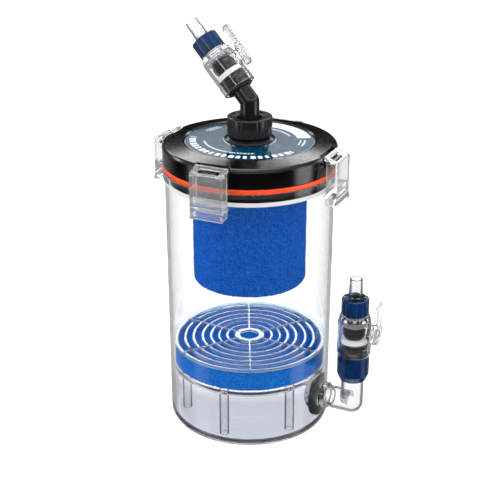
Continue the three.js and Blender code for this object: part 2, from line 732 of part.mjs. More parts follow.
// The fitting through the barrel's wall, the clear elbow outside and the valve that stands on it.
function outletLine() {
  const o = OUTLET;
  const level = (solid) => alongX(solid).translate([0, 0, o.height]);
  const innerWall = barrelOuter(o.height) - BARREL.wall;

  const washer = level(ring(o.stemRadius + GAP, o.washerRadius, o.washerFace, 80))
    .intersect(cylinder(innerWall - GAP, 0, 80, BARREL.sides));
  add('outlet_washer', washer, RUBBER());

  const nut = level(raised(hexagon(o.nutRadius), o.nutFace, o.washerFace - GAP)
    .subtract(cylinder(o.stemRadius + GAP, o.nutFace - 1, o.washerFace)));
  add('outlet_locknut', nut, finish(0x9aa0a8, 0.2, 0.6));

  const outsideWall = cylinder(barrelOuter(o.height) + GAP + 0.1, 0, 80, BARREL.sides);
  const collar = level(cylinder(o.collarRadius, 70, o.collarEnd)).subtract(outsideWall);
  const stem = level(cylinder(o.stemRadius, o.stemFrom, o.collarEnd));
  const socket = level(cylinder(o.spigotRadius + GAP, o.stemFrom - 1, o.collarEnd + 1));
  add('outlet_bulkhead', collar.add(stem).subtract(socket), CLEAR());

  const { tubeRadius, tubeBore, spigotBore, legX, height, valveBase } = o;
  const flangeTop = valveBase - o.valveTail - 1.2;
  const flangeFoot = flangeTop - o.flangeHeight;
  const upright = (solid) => solid.translate([legX, 0, 0]);
  const corner = (radius) => ball(radius).translate([legX, 0, height]);
  const tubeStart = o.collarEnd + GAP;
  const outside = union(
    level(cylinder(tubeRadius, tubeStart, legX)),
    level(cylinder(o.spigotRadius, o.spigotFrom, tubeStart + 1)),
    corner(tubeRadius),
    upright(cylinder(tubeRadius, height, flangeFoot + 1)),
    upright(cylinder(o.flangeRadius, flangeFoot, flangeTop)),
    upright(cylinder(ELBOW_TUBE, flangeTop - 1, valveBase + SPIGOT_LENGTH)),
  );
  const inside = union(
    level(cylinder(tubeBore, tubeStart + 3, legX)),
    level(cylinder(spigotBore, o.spigotFrom - 1, tubeStart + 4)),
    corner(tubeBore),
    upright(cylinder(tubeBore, height, flangeFoot - 2)),
    upright(cylinder(spigotBore, flangeFoot - 3, valveBase + SPIGOT_LENGTH + 1)),
  );
  add('outlet_elbow', outside.subtract(inside), CLEAR());
  const oRing = ring(ELBOW_TUBE + GAP, VALVE.tailRadius - 0.2, flangeTop + 0.25, flangeTop + 0.95);
  add('outlet_o_ring', upright(oRing), RUBBER());

  const { radius, footRadius, length, chamfer, flutes, fluteDepth, threadRadius } = LOWER_NUT;
  const nutTop = valveBase - 0.5;
  const nutFoot = nutTop - length;
  const chamfered = turned([
    [0, nutFoot],
    [footRadius, nutFoot],
    [radius + 0.2, nutFoot + chamfer],
    [radius + 0.2, nutTop],
    [0, nutTop],
  ]);
  const unionNut = raised(flutedOutline(radius, fluteDepth, flutes), nutFoot, nutTop)
    .intersect(chamfered)
    .subtract(cylinder(threadRadius, flangeFoot - 0.4, nutTop + 1))
    .subtract(cylinder(tubeRadius + RUNNING_GAP, nutFoot - 1, nutTop));
  add('outlet_union_nut', upright(unionNut), NAVY());

  const valve = new THREE.Group();
  valve.position.set(legX, 0, valveBase);
  filter.add(valve);
  ballValve('outlet', valve, o.valveTail);
}

barrel();
spongeStage();
lid();
latches();
inletBulkhead();
cartridge();
inletElbow();
outletLine();

export default filter;
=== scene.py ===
import json
from math import asin, atan2, cos, hypot, pi, radians, sin, tan, tau

import bmesh
import bpy
from mathutils import Matrix, Vector, noise


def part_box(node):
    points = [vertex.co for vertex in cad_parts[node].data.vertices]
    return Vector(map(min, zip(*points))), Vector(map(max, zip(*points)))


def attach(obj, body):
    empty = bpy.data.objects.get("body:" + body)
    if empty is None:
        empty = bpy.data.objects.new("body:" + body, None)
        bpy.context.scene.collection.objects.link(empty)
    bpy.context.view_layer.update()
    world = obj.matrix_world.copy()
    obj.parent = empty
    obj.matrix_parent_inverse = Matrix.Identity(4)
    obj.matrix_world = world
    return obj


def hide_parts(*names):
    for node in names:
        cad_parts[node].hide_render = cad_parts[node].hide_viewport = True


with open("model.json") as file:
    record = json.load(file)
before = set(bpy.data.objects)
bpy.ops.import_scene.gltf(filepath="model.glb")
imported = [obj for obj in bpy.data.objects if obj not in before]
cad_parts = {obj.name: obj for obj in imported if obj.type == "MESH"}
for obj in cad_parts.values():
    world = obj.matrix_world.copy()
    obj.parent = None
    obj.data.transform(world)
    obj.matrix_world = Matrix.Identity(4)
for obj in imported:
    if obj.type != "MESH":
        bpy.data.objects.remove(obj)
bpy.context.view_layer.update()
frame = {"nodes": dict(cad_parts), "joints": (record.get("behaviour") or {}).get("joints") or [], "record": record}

# An external aquarium canister pre-filter in clear acrylic, with blue sponges and two ball valves.
# Builders work in millimetres. Meshes are made in metres, in the same frame as the CAD model.
MM = 0.001

RECORD = frame["record"]
BODY_OF = {node: body for body, nodes in RECORD["behaviour"]["bodies"].items() for node in nodes}
SLOT_OF = {part["node"]: part["material_slot"] for part in RECORD["subparts"]}
JOINT_OF = {joint["name"]: joint for joint in frame["joints"]}

CAMERA_AZIMUTH = 25.0  # degrees about +Z from -Y, the side that the object is seen from


# ---- Mesh helpers ----

def span(node):
    """The lowest and highest corners of a CAD node, in millimetres."""
    low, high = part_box(node)
    return low / MM, high / MM


def solid(name, bm):
    """An object made from a bmesh, with its faces pointing out."""
    bmesh.ops.remove_doubles(bm, verts=bm.verts, dist=1e-7)
    bmesh.ops.recalc_face_normals(bm, faces=bm.faces)
    mesh = bpy.data.meshes.new(name)
    bm.to_mesh(mesh)
    bm.free()
    piece = bpy.data.objects.new(name, mesh)
    bpy.context.scene.collection.objects.link(piece)
    return piece


def filleted(points, default=0.4, closed=True, steps=4):
    """An outline with rounded corners. A point is (x, y) or (x, y, size of its rounding)."""
    outline = []
    for i, (x, y, *size) in enumerate(points):
        here = Vector((x, y))
        size = size[0] if size else default
        if size == 0 or (not closed and i in (0, len(points) - 1)):
            outline.append((x, y))
            continue
        before = Vector(points[i - 1][:2]) - here
        after = Vector(points[(i + 1) % len(points)][:2]) - here
        half_turn = before.angle(after) / 2
        reach = min(size / tan(half_turn), 0.48 * before.length, 0.48 * after.length)
        start = here + before.normalized() * reach
        stop = here + after.normalized() * reach
        for step in range(steps + 1):
            t = step / steps
            outline.append(tuple((1 - t) ** 2 * start + 2 * t * (1 - t) * here + t * t * stop))
    return outline


def dense(points, step, closed=True):
    """The same outline, with points no further apart than step."""
    outline = []
    following = points[1:] + points[:1] if closed else points[1:]
    for start, stop in zip(points, following):
        count = max(1, round((Vector(stop) - Vector(start)).length / step))
        for i in range(count):
            outline.append(tuple(Vector(start).lerp(Vector(stop), i / count)))
    return outline if closed else outline + [points[-1]]


def polar(radius, angle, z):
    return radius * cos(angle) * MM, radius * sin(angle) * MM, z * MM


def joined(bm, lower, upper):
    """Adds the faces between two rings of vertices."""
    for i in range(len(lower)):
        j = (i + 1) % len(lower)
        corners = dict.fromkeys((lower[i], lower[j], upper[j], upper[i]))
        if len(corners) > 2:
            bm.faces.new(corners)


def lathe(name, profile, segments=96, shape=None):
    """Turns a (radius, z) profile about +Z. shape(radius, angle, z) may give another radius."""
    bm = bmesh.new()
    rings = []
    for radius, z in profile:
        if radius < 1e-6:
            rings.append([bm.verts.new((0, 0, z * MM))] * segments)
            continue
        ring = []
        for i in range(segments):
            angle = tau * i / segments
            reach = shape(radius, angle, z) if shape else radius
            ring.append(bm.verts.new(polar(reach, angle, z)))
        rings.append(ring)
    if profile[0][0] > 1e-6:
        rings.append(rings[0])
    for lower, upper in zip(rings, rings[1:]):
        joined(bm, lower, upper)
    return solid(name, bm)


def prism(name, outline, low, high):
    """A closed (x, y) outline raised along +Z from low to high."""
    bm = bmesh.new()
    bottom = [bm.verts.new((x * MM, y * MM, low * MM)) for x, y in outline]
    top = [bm.verts.new((x * MM, y * MM, high * MM)) for x, y in outline]
    bm.faces.new(bottom)
    bm.faces.new(top)
    joined(bm, bottom, top)
    return solid(name, bm)


def rectangle(x_from, x_to, y_from, y_to):
    return [(x_from, y_from), (x_to, y_from), (x_to, y_to), (x_from, y_to)]


def block(x_from, x_to, y_from, y_to, z_from, z_to):
    return prism("block", rectangle(x_from, x_to, y_from, y_to), z_from, z_to)


def rod(radius, low, high, segments=64):
    return lathe("rod", [(0, low), (radius, low), (radius, high), (0, high)], segments)


def moved(piece, *steps):
    """The piece after each 4x4 matrix in turn."""
    for step in steps:
        piece.data.transform(step)
    return piece


def turn(degrees, axis):
    return Matrix.Rotation(radians(degrees), 4, axis)


def shift(x, y, z):
    return Matrix.Translation(Vector((x, y, z)) * MM)


def baked(piece):
    """The piece with its modifiers applied."""
    graph = bpy.context.evaluated_depsgraph_get()
    mesh = bpy.data.meshes.new_from_object(piece.evaluated_get(graph))
    piece.modifiers.clear()
    piece.data = mesh
    return piece


def combined(piece, tools, operation="DIFFERENCE"):
    """The piece after a boolean with each tool in turn. The tools are used up."""
    for tool in tools:
        modifier = piece.modifiers.new("combine", "BOOLEAN")
        modifier.operation = operation
        modifier.solver = "EXACT"
        modifier.object = tool
    baked(piece)
    for tool in tools:
        bpy.data.objects.remove(tool)
    return piece


def softened(piece, width, segments=2, angle=32):
    """Rounds the piece's sharp edges."""
    modifier = piece.modifiers.new("soften", "BEVEL")
    modifier.width = width * MM
    modifier.segments = segments
    modifier.limit_method = "ANGLE"
    modifier.angle_limit = radians(angle)
    return baked(piece)


def dressed(piece, node, sharp=38, flat_faces=True):
    """Lets the piece stand for a CAD node: its body, its slot and its material. With flat_faces, its
    large faces keep their own normals, and only the rounded edges between them are shaded smooth."""
    piece.data.shade_smooth()
    piece.data.set_sharp_from_angle(angle=radians(sharp))
    if flat_faces:
        modifier = piece.modifiers.new("flat_faces", "WEIGHTED_NORMAL")
        modifier.keep_sharp = True
        baked(piece)
    piece.name = node + "_visual"
    piece.data.materials.clear()
    piece.data.materials.append(FINISHES.get(node, MATERIALS[SLOT_OF[node]]))
    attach(piece, BODY_OF[node])
    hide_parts(node)
    return piece


def smoothstep(low, high, value):
    t = min(1, max(0, (value - low) / (high - low)))
    return t * t * (3 - 2 * t)


# ---- Materials ----

class Graph:
    """Adds nodes to a material or world, each with its settings and its inputs."""

    def __init__(self, owner):
        owner.use_nodes = True
        self.tree = owner.node_tree

    def feed(self, socket, value):
        if isinstance(value, bpy.types.NodeSocket):
            self.tree.links.new(value, socket)
        else:
            socket.default_value = value

    def add(self, kind, inputs=None, **settings):
        node = self.tree.nodes.new("ShaderNode" + kind)
        for name, value in settings.items():
            setattr(node, name, value)
        for name, value in (inputs or {}).items():
            self.feed(node.inputs[name], value)
        return node

    def math(self, operation, *values):
        inputs = dict(enumerate(values))
        return self.add("Math", inputs, operation=operation).outputs[0]

    def plus(self, first, second):
        return self.math("ADD", first, second)

    def times(self, first, second):
        return self.math("MULTIPLY", first, second)

    def ramp(self, value, low, high, to_low=0.0, to_high=1.0):
        inputs = {"Value": value, "From Min": low, "From Max": high, "To Min": to_low, "To Max": to_high}
        return self.add("MapRange", inputs, interpolation_type="SMOOTHSTEP").outputs[0]

    def mixed(self, factor, first, second):
        node = self.add("Mix", {0: factor}, data_type="RGBA")
        for index, value in ((6, first), (7, second)):
            self.feed(node.inputs[index], (*value, 1) if isinstance(value, tuple) else value)
        return node.outputs[2]

    def bump(self, height, distance, strength=1.0):
        inputs = {"Height": height, "Distance": distance * MM, "Strength": strength}
        return self.add("Bump", inputs).outputs[0]

    def place(self):
        return self.add("TexCoord").outputs["Object"]

    def noise(self, scale, detail=3.0, vector=None):
        inputs = {"Vector": vector or self.place(), "Scale": scale, "Detail": detail}
        return self.add("TexNoise", inputs).outputs["Fac"]

    def principled(self):
        return self.tree.nodes["Principled BSDF"]

    def set(self, **values):
        for name, value in values.items():
            self.feed(self.principled().inputs[name.replace("_", " ")], value)

    def output(self, name, value):
        self.feed(self.tree.nodes["Material Output"].inputs[name], value)


def plastic(name, dark, light, roughness, grain, mottle=60, bump=0.02, scratch=0.04, **constants):
    """Moulded plastic or rubber: a fine grain, slow changes of tone and uneven gloss."""
    material = bpy.data.materials.new(name)
    graph = Graph(material)
    tone = graph.ramp(graph.noise(mottle, 4), 0.3, 0.7)
    gloss = graph.ramp(graph.noise(mottle * 5, 5), 0.25, 0.75, roughness - scratch, roughness + scratch)
    normal = graph.bump(graph.noise(grain, 4), bump)
    graph.set(Base_Color=graph.mixed(tone, dark, light), Roughness=gloss, Normal=normal, **constants)
    return material


SHADE_FROM, SHADE_TO = 0.044, 0.056  # heights, in metres, between which the painted shade below the sponges fades away


def clear(name, density, milk=0.0, rough=0.0, waviness=0.05, tint=(0.985, 0.99, 0.995), shade_below_sponges=None,
          coat=0.0, ior=1.49):
    """Clear moulded acrylic: faintly wavy, and greyer along its edges, where light goes further.
    milk is the share of light that it scatters. The tint below the sponges is a painted shade, where their
    shadow falls, and coat the share of a cool, glossy skin."""
    material = bpy.data.materials.new(name)
    graph = Graph(material)
    place = graph.place()
    low = tuple(0.985 * channel for channel in tint)
    colour = graph.mixed(graph.ramp(graph.noise(35, 2, place), 0.3, 0.7), low, tint)
    # painted shade: below the sponges the acrylic is tinted darker, standing in for their shadow
    if shade_below_sponges:
        height = graph.add("SeparateXYZ", {"Vector": place}).outputs[2]
        colour = graph.mixed(graph.ramp(height, SHADE_FROM, SHADE_TO, 1.0, 0.0), colour, shade_below_sponges)
    normal = graph.bump(graph.noise(55, 2, place), waviness)
    graph.set(Base_Color=colour, Normal=normal, Roughness=rough, IOR=ior, Transmission_Weight=1 - milk)
    graph.set(Coat_Weight=coat, Coat_IOR=1.7, Coat_Roughness=0.03, Coat_Tint=(0.8, 0.93, 1.0, 1.0))
    volume = graph.add("VolumeAbsorption", {"Color": (0.5, 0.52, 0.56, 1), "Density": density})
    graph.output("Volume", volume.outputs[0])
    return material


def foam_material(name, dark_fibre_and_pore_shade, bright):
    """Open-cell foam: bright strands, with painted shade darkening the pores between them."""
    material = bpy.data.materials.new(name)
    graph = Graph(material)
    place = graph.place()
    cells = graph.add("TexVoronoi", {"Vector": place, "Scale": 620.0}).outputs["Distance"]
    # painted shade: the pores are coloured darker, as the shade inside them
    away_from_pore_shade = graph.ramp(cells, 0.1, 0.6)
    fibres = graph.ramp(graph.noise(800, 4, place), 0.35, 0.65)
    # strands mixes this painted pore shade with the fibres' random tone
    strands = graph.plus(graph.times(away_from_pore_shade, 0.5), graph.times(fibres, 0.5))
    colour, normal = graph.mixed(strands, dark_fibre_and_pore_shade, bright), graph.bump(strands, 0.4, 0.9)
    graph.set(Base_Color=colour, Normal=normal, Roughness=0.95, Specular_IOR_Level=0.0)
    return material


def label_material():
    """A teal film printed on the clear window, with generic marks left open in it."""
    material = bpy.data.materials.new("printed_film")
    graph = Graph(material)
    axes = graph.add("SeparateXYZ", {"Vector": graph.place()})
    x, y = axes.outputs[0], axes.outputs[1]
    radius = graph.math("DIVIDE", graph.math("SQRT", graph.plus(graph.times(x, x), graph.times(y, y))), MM)
    angle = graph.math("DIVIDE", graph.math("ARCTAN2", y, x), radians(1))

    def within(value, low, high, soft):
        rising = graph.ramp(value, low - soft, low + soft)
        return graph.times(rising, graph.ramp(value, high - soft, high + soft, 1.0, 0.0))

    def band(r_from, r_to, from_degrees, to_degrees):
        """A mark between two radii, in millimetres, and two angles."""
        across = within(radius, r_from, r_to, 0.25)
        return graph.times(across, within(angle, from_degrees, to_degrees, 0.3))

    def dashes(pitch, share, phase=0.0):
        """Marks along an arc, one every pitch degrees, in three lengths."""
        place = graph.plus(angle, 360.0 + phase)
        along = graph.math("FRACT", graph.math("DIVIDE", place, pitch))
        step = graph.math("FLOOR", graph.math("DIVIDE", place, pitch))
        length = graph.times(graph.math("FRACT", graph.times(step, 0.37)), 0.3)
        return graph.ramp(along, graph.math("SUBTRACT", share - 0.04, length),
                          graph.math("SUBTRACT", share + 0.04, length), 1.0, 0.0)

    marks = None
    rows = [  # solid marks, and bands broken into dashes
        (band(47.2, 53.2, -164, -20), dashes(7.2, 0.72)),
        (band(39.2, 41.0, -150, -60), dashes(3.4, 0.8)),
        (band(46.6, 48.0, 150, 172), dashes(4.0, 0.85)),
        (band(43.4, 44.8, 150, 170), dashes(3.0, 0.8)),
        (band(42.0, 54.0, 29, 95), None),
        (band(35.6, 37.6, 38, 84), dashes(3.2, 0.7)),
        (band(44.0, 45.6, 4, 20), dashes(3.4, 0.75)),
        (band(47.6, 49.4, 2, 22), dashes(4.2, 0.8)),
    ]
    for area, pattern in rows:
        mark = graph.times(area, pattern) if pattern else area
        marks = graph.math("MAXIMUM", marks, mark) if marks else mark
    small = graph.times(band(45.0, 46.4, 40, 76), dashes(5.5, 0.62))
    marks = graph.math("SUBTRACT", marks, graph.times(small, 0.8))

    fibres = graph.ramp(graph.noise(700, 4), 0.3, 0.7)
    teal = graph.mixed(fibres, (0.0, 0.05, 0.11), (0.0, 0.062, 0.135))
    ink = graph.mixed(fibres, (0.80, 0.83, 0.87), (0.88, 0.9, 0.93))
    gloss = graph.ramp(graph.noise(240, 4), 0.3, 0.7, 0.3, 0.4)
    graph.set(Base_Color=graph.mixed(marks, teal, ink), Roughness=gloss, Specular_IOR_Level=0.0,
              Normal=graph.bump(graph.noise(120, 3), 0.02))
    opening = graph.add("BsdfTransparent", {"Color": (1, 1, 1, 1)}).outputs[0]
    share = graph.ramp(marks, 0.0, 1.0, 0.42, 0.72)
    film = graph.add("MixShader", {0: share, 1: opening, 2: graph.principled().outputs[0]})
    graph.output("Surface", film.outputs[0])
    return material


PAINTED_GLOW_WHITE = (0.97, 0.98, 1.0, 1.0)  # a painted glow, standing for the light that thin white plastic passes on
MATERIALS = {
    "clear_acrylic": clear("clear_acrylic", 25.0),
    "smoke_plastic": clear("smoke_plastic", 200.0, waviness=0.08, tint=(0.8, 0.82, 0.85)),
    "black_plastic": plastic(
        "black_plastic", (0.0012, 0.0012, 0.0014), (0.0026, 0.0025, 0.0028), 0.16, 1400, bump=0.003,
        Specular_IOR_Level=0.75),
    "black_rubber": plastic(
        "black_rubber", (0.006, 0.006, 0.0065), (0.012, 0.012, 0.0125), 0.5, 900, bump=0.02),
    "orange_rubber": plastic(
        "orange_rubber", (0.80, 0.055, 0.004), (0.90, 0.075, 0.007), 0.24, 700, bump=0.01),
    "navy_plastic": plastic(
        "navy_plastic", (0.0004, 0.014, 0.06), (0.0014, 0.026, 0.104), 0.16, 1200, bump=0.003),
    "blue_sponge": foam_material("blue_foam", (0.0, 0.018, 0.15), (0.0, 0.195, 0.93)),
    "tinted_label": label_material(),
    # painted glow: white plastic parts glow a little through their emission, though no lamp is in them
    "white_plastic": plastic(
        "white_plastic", (0.9, 0.92, 0.96), (0.93, 0.95, 0.98), 0.38, 1000, bump=0.01,
        Emission_Color=PAINTED_GLOW_WHITE, Emission_Strength=0.25),
    "dark_ball": plastic(
        "dark_ball", (0.008, 0.008, 0.009), (0.016, 0.016, 0.017), 0.12, 800, bump=0.003),
    "steel_pin": plastic(
        "steel_pin", (0.42, 0.36, 0.3), (0.6, 0.55, 0.5), 0.3, 1500, bump=0.01, Metallic=1.0),
}

# Pieces that share a slot but differ in thickness or moulding, or carry painted light.
THIN_TINT = (0.995, 0.997, 1.0)
FROSTED_EDGE = clear("frosted_edge", 20.0, milk=0.75, rough=0.12)
SATIN_BLACK = plastic("satin_black", (0.006, 0.0055, 0.006), (0.011, 0.010, 0.011), 0.22, 1400, bump=0.004)
FINISHES = {
    # the barrel's lower part gets a painted shade, a greyer, bluer tint below the sponges
    "barrel": clear("barrel_acrylic", 3.0, tint=THIN_TINT, shade_below_sponges=(0.79, 0.805, 0.855)),
    "upper_grille": clear(
        "ribbed_acrylic", 1.0, milk=0.16, rough=0.03, tint=(0.93, 0.97, 1.0), coat=1.0),
    "lower_plate": clear("thin_acrylic", 4.0, tint=THIN_TINT),
    "lid_window": clear("window_acrylic", 4.0, tint=THIN_TINT, ior=1.12),
    # painted light: the disc's foam is a brighter copy of the sponge's foam, with more light painted into its
    # colour
    "sponge_disc": foam_material("disc_foam_painted_lighter", (0.0, 0.06, 0.7), (0.0, 0.32, 1.0)),
    "outlet_elbow": clear("elbow_acrylic", 60.0),
    # painted glow: the cartridge's top tray glows a little, standing for light passed through it
    "cartridge_top_cap": plastic(
        "translucent_white_painted_glow", (0.82, 0.84, 0.88), (0.88, 0.9, 0.93), 0.5, 1000, bump=0.01,
        Emission_Color=PAINTED_GLOW_WHITE, Emission_Strength=0.3),
}
for finish, *nodes in (
        (clear("moulded_acrylic", 6.0, milk=0.09, rough=0.02), "inlet_handle", "outlet_handle"),
        (clear("latch_acrylic", 6.0, milk=0.09, rough=0.07), "latch_1", "latch_2", "latch_3", "latch_4"),
        (clear("nozzle_acrylic", 130.0), "inlet_nozzle", "outlet_nozzle"),
        (clear("natural_seat", 30.0, milk=0.2, rough=0.12), "inlet_upper_seat", "outlet_upper_seat"),
        (SATIN_BLACK, "inlet_union_nut", "inlet_elbow", "inlet_bulkhead")):
    FINISHES.update(dict.fromkeys(nodes, finish))


# ---- Barrel and sponge stage ----

FLOOR_TOP = 5.0
WALL = 2.9
PORT_RADIUS = 11.0


def barrel():
    _, high = span("barrel")
    flange, height = high.y, high.z
    flange_from = height - 11
    bevel_top = flange_from + 4.2
    foot, rim = flange - 2.8, flange - 1.8
    profile = filleted([
        (0, 0), (foot, 0, 9), (rim, flange_from, 0.4), (rim + 0.7, flange_from, 0.4),
        (flange, bevel_top, 0.5), (flange, height, 0.7), (rim - WALL, height, 0.7),
        (foot - WALL, FLOOR_TOP, 6.1), (0, FLOOR_TOP),
    ], closed=False, steps=8)
    shell = lathe("barrel", profile, 192)
    outlet_low, outlet_high = span("outlet_bulkhead")
    outlet_height = (outlet_low.z + outlet_high.z) / 2
    port = moved(rod(PORT_RADIUS, 60, 90), turn(90, "Y"), shift(0, 0, outlet_height))
    dressed(combined(shell, [port]), "barrel")
    shell.data.materials.append(FROSTED_EDGE)
    for face in shell.data.polygons:
        centre = face.center / MM
        on_bevel = flange_from < centre.z < bevel_top + 0.3 and hypot(centre.x, centre.y) > rim + 0.2
        face.material_index = 1 if on_bevel else 0


def polar_plate(name, radii, holes, spokes, first, half_spoke, low, high, steps=14):
    """A round plate with ring-shaped slots between spokes that have parallel sides."""
    bm = bmesh.new()
    rows = []
    for radius in radii:
        row = []
        for spoke in range(spokes):
            edge = asin(half_spoke / radius)
            start = radians(first) + tau * spoke / spokes + edge
            stop = radians(first) + tau * (spoke + 1) / spokes - edge
            for i in range(steps + 1):
                angle = start + (stop - start) * i / steps
                row.append(bm.verts.new(polar(radius, angle, low)))
        rows.append(row)
    per_sector = steps + 1
    for ring, (inner, outer) in enumerate(zip(rows, rows[1:])):
        for i in range(len(inner)):
            is_spoke = i % per_sector == steps
            if ring in holes and not is_spoke:
                continue
            j = (i + 1) % len(inner)
            bm.faces.new((inner[i], inner[j], outer[j], outer[i]))
    lifted = bmesh.ops.extrude_face_region(bm, geom=bm.faces[:])
    top = [item for item in lifted["geom"] if isinstance(item, bmesh.types.BMVert)]
    bmesh.ops.translate(bm, verts=top, vec=(0, 0, (high - low) * MM))
    return solid(name, bm)


GRILLE_SLOTS = [
    (13.7, 20), (21.9, 27.9), (29.3, 35.2), (37.2, 43.1), (45.1, 51.6), (53.6, 59.5), (61.5, 67.5)]
SLOT_TRIM = 0.3  # how much each side of a slot gives up to the rings, which are rounded afterwards
GRILLE_HOLE = 8.7
SPOKES = 6
KNOB_CIRCLE = 60.5
KNOB_SPREAD = 3.0
PLATE_TURN = 2.0  # degrees from the front to the lower plate's first spoke
POST_CIRCLE = 59.6


def sponge_stage():
    low, high = span("upper_grille")
    plate_top = low.z + 2.2
    radii = [GRILLE_HOLE]
    for inner, outer in GRILLE_SLOTS:
        radii += [inner + SLOT_TRIM, outer - SLOT_TRIM]
    radii.append(high.y)
    holes = {2 * i + 1 for i in range(len(GRILLE_SLOTS))}
    first = -90 + CAMERA_AZIMUTH
    grille = polar_plate("grille", radii, holes, SPOKES, first, 0.9, low.z, plate_top)
    softened(grille, 0.45, 2)
    knobs = []
    for spoke in range(SPOKES):
        for side in (-KNOB_SPREAD, KNOB_SPREAD):
            knob = lathe("knob", filleted([
                (0, plate_top - 0.6), (1.7, plate_top - 0.6), (1.4, high.z, 0.8), (0, high.z)],
                closed=False), 20)
            knobs.append(moved(knob, shift(side, -KNOB_CIRCLE, 0), turn(CAMERA_AZIMUTH + 60 * spoke, "Z")))
    dressed(combined(grille, knobs, "UNION"), "upper_grille")

    low, high = span("lower_plate")
    thickness = 4.4
    plate_low = high.z - thickness
    radii = [GRILLE_HOLE, 14, 21, 23.5, 30, 33, 41, 43.5, 53.5, high.y]
    first = -90 + PLATE_TURN
    plate = polar_plate("plate", radii, {1, 3, 5, 7}, SPOKES, first, 2.0, plate_low, high.z)
    softened(plate, 0.5, 2)
    posts = []
    for i in range(SPOKES):
        post = lathe("post", filleted(rectangle(3.1, 4.3, low.z, plate_low + 1), 0.3), 40)
        posts.append(moved(post, shift(0, -POST_CIRCLE, 0), turn(PLATE_TURN + 60 * i, "Z")))
    dressed(combined(plate, posts, "UNION"), "lower_plate")


FOAM_STEP = 0.85  # distance between the foam's vertices
PORE_SIZE = 2.0
PORE_DEPTH = 0.8
FUZZ = 1.2  # how far its strands stand out
FUZZ_SIZE = 1.3
SAG = 0.25  # how far its skin is out of true
SAG_SIZE = 14


def foam(name, profile, swell=0.0):
    """A foam piece whose skin is pitted with pores. swell is how far it may stand out of the profile."""
    around = round(tau * max(radius for radius, _ in profile) / FOAM_STEP)
    piece = lathe(name, dense(profile, FOAM_STEP, closed=profile[0][0] > 1e-6), around)
    mesh = piece.data
    normals = [vertex.normal.copy() for vertex in mesh.vertices]
    for vertex, normal in zip(mesh.vertices, normals):
        place = vertex.co / MM
        nearest = noise.voronoi(place / PORE_SIZE)[0][0]
        pit = PORE_DEPTH * (1 - smoothstep(0.1, 0.62, nearest))
        fuzz = FUZZ * (0.5 + 0.5 * noise.noise(place / FUZZ_SIZE))
        sag = SAG * (0.5 + 0.5 * noise.noise(place / SAG_SIZE))
        vertex.co -= normal * (pit + fuzz + sag - swell) * MM
    return dressed(piece, name, sharp=80, flat_faces=False)


def sponges():
    low, high = span("cartridge_sponge")
    inner = 16.9
    foam("cartridge_sponge", filleted([
        (inner, low.z, 1), (high.y, low.z, 2.6), (high.y, high.z, 1.2), (inner, high.z, 1)]), 0.9)
    low, high = span("sponge_disc")
    foam("sponge_disc", filleted([
        (0, low.z), (high.y, low.z, 2.4), (high.y, high.z, 2.0), (0, high.z)], closed=False))


# ---- Lid ----

NOTCH_BACK = 71.4
NOTCH_FLOOR = 257.4
NOTCH_HALF = 15.5
PIN_X, PIN_Z = (JOINT_OF["latch_1_swing"]["pos_m"][i] / MM for i in (0, 2))
PIN_HOLE = 1.75
LUG_HALF = 6.2
LUG_HEAD = 3.1  # radius of a lug round its pin


def lid_ring():
    low, high = span("lid_ring")
    radius, lip = 77.2, high.z
    _, seal = span("seal_ring")
    side_from = seal.z + 0.3
    ledge, window = 62.4, 57.4
    profile = filleted([
        (68, low.z), (71.2, low.z, 0.7), (71.2, side_from, 0.3), (radius, side_from, 0.5),
        (radius, 265.3, 0.2), (radius + 0.2, 265.6, 0.2), (radius + 0.2, 266.3, 0.5), (75.6, 268.5, 2.2),
        (window + 1.4, lip, 0.7), (window, lip - 0.9, 0.3), (window, 267.3, 0.2), (ledge, 267.3, 0.2),
        (ledge, side_from + 2, 0.4), (68, side_from, 0.4),
    ], steps=5)
    ring = lathe("lid_ring", profile, 192)
    cuts, lugs = [], []
    for i in range(4):
        notch = block(NOTCH_BACK, radius + 9, -NOTCH_HALF, NOTCH_HALF, NOTCH_FLOOR, lip + 5)
        cuts.append(moved(notch, turn(90 * i, "Z")))
        angles = [radians(degrees) for degrees in range(-50, 216, 19)]
        head = [(PIN_X + LUG_HEAD * cos(angle), PIN_Z + LUG_HEAD * sin(angle)) for angle in angles]
        stalk = [(75.8, side_from + 0.6), *head, (76.6, NOTCH_FLOOR), (75.8, NOTCH_FLOOR)]
        lug = moved(prism("lug", stalk, -LUG_HALF, LUG_HALF), turn(90, "X"))
        hole = moved(rod(PIN_HOLE, -20, 20, 32), turn(90, "X"), shift(PIN_X, 0, PIN_Z))
        lugs.append(moved(softened(combined(lug, [hole]), 0.3), turn(90 * i, "Z")))
    combined(ring, cuts)
    softened(ring, 0.35, 2, angle=50)
    dressed(combined(ring, lugs, "UNION"), "lid_ring")


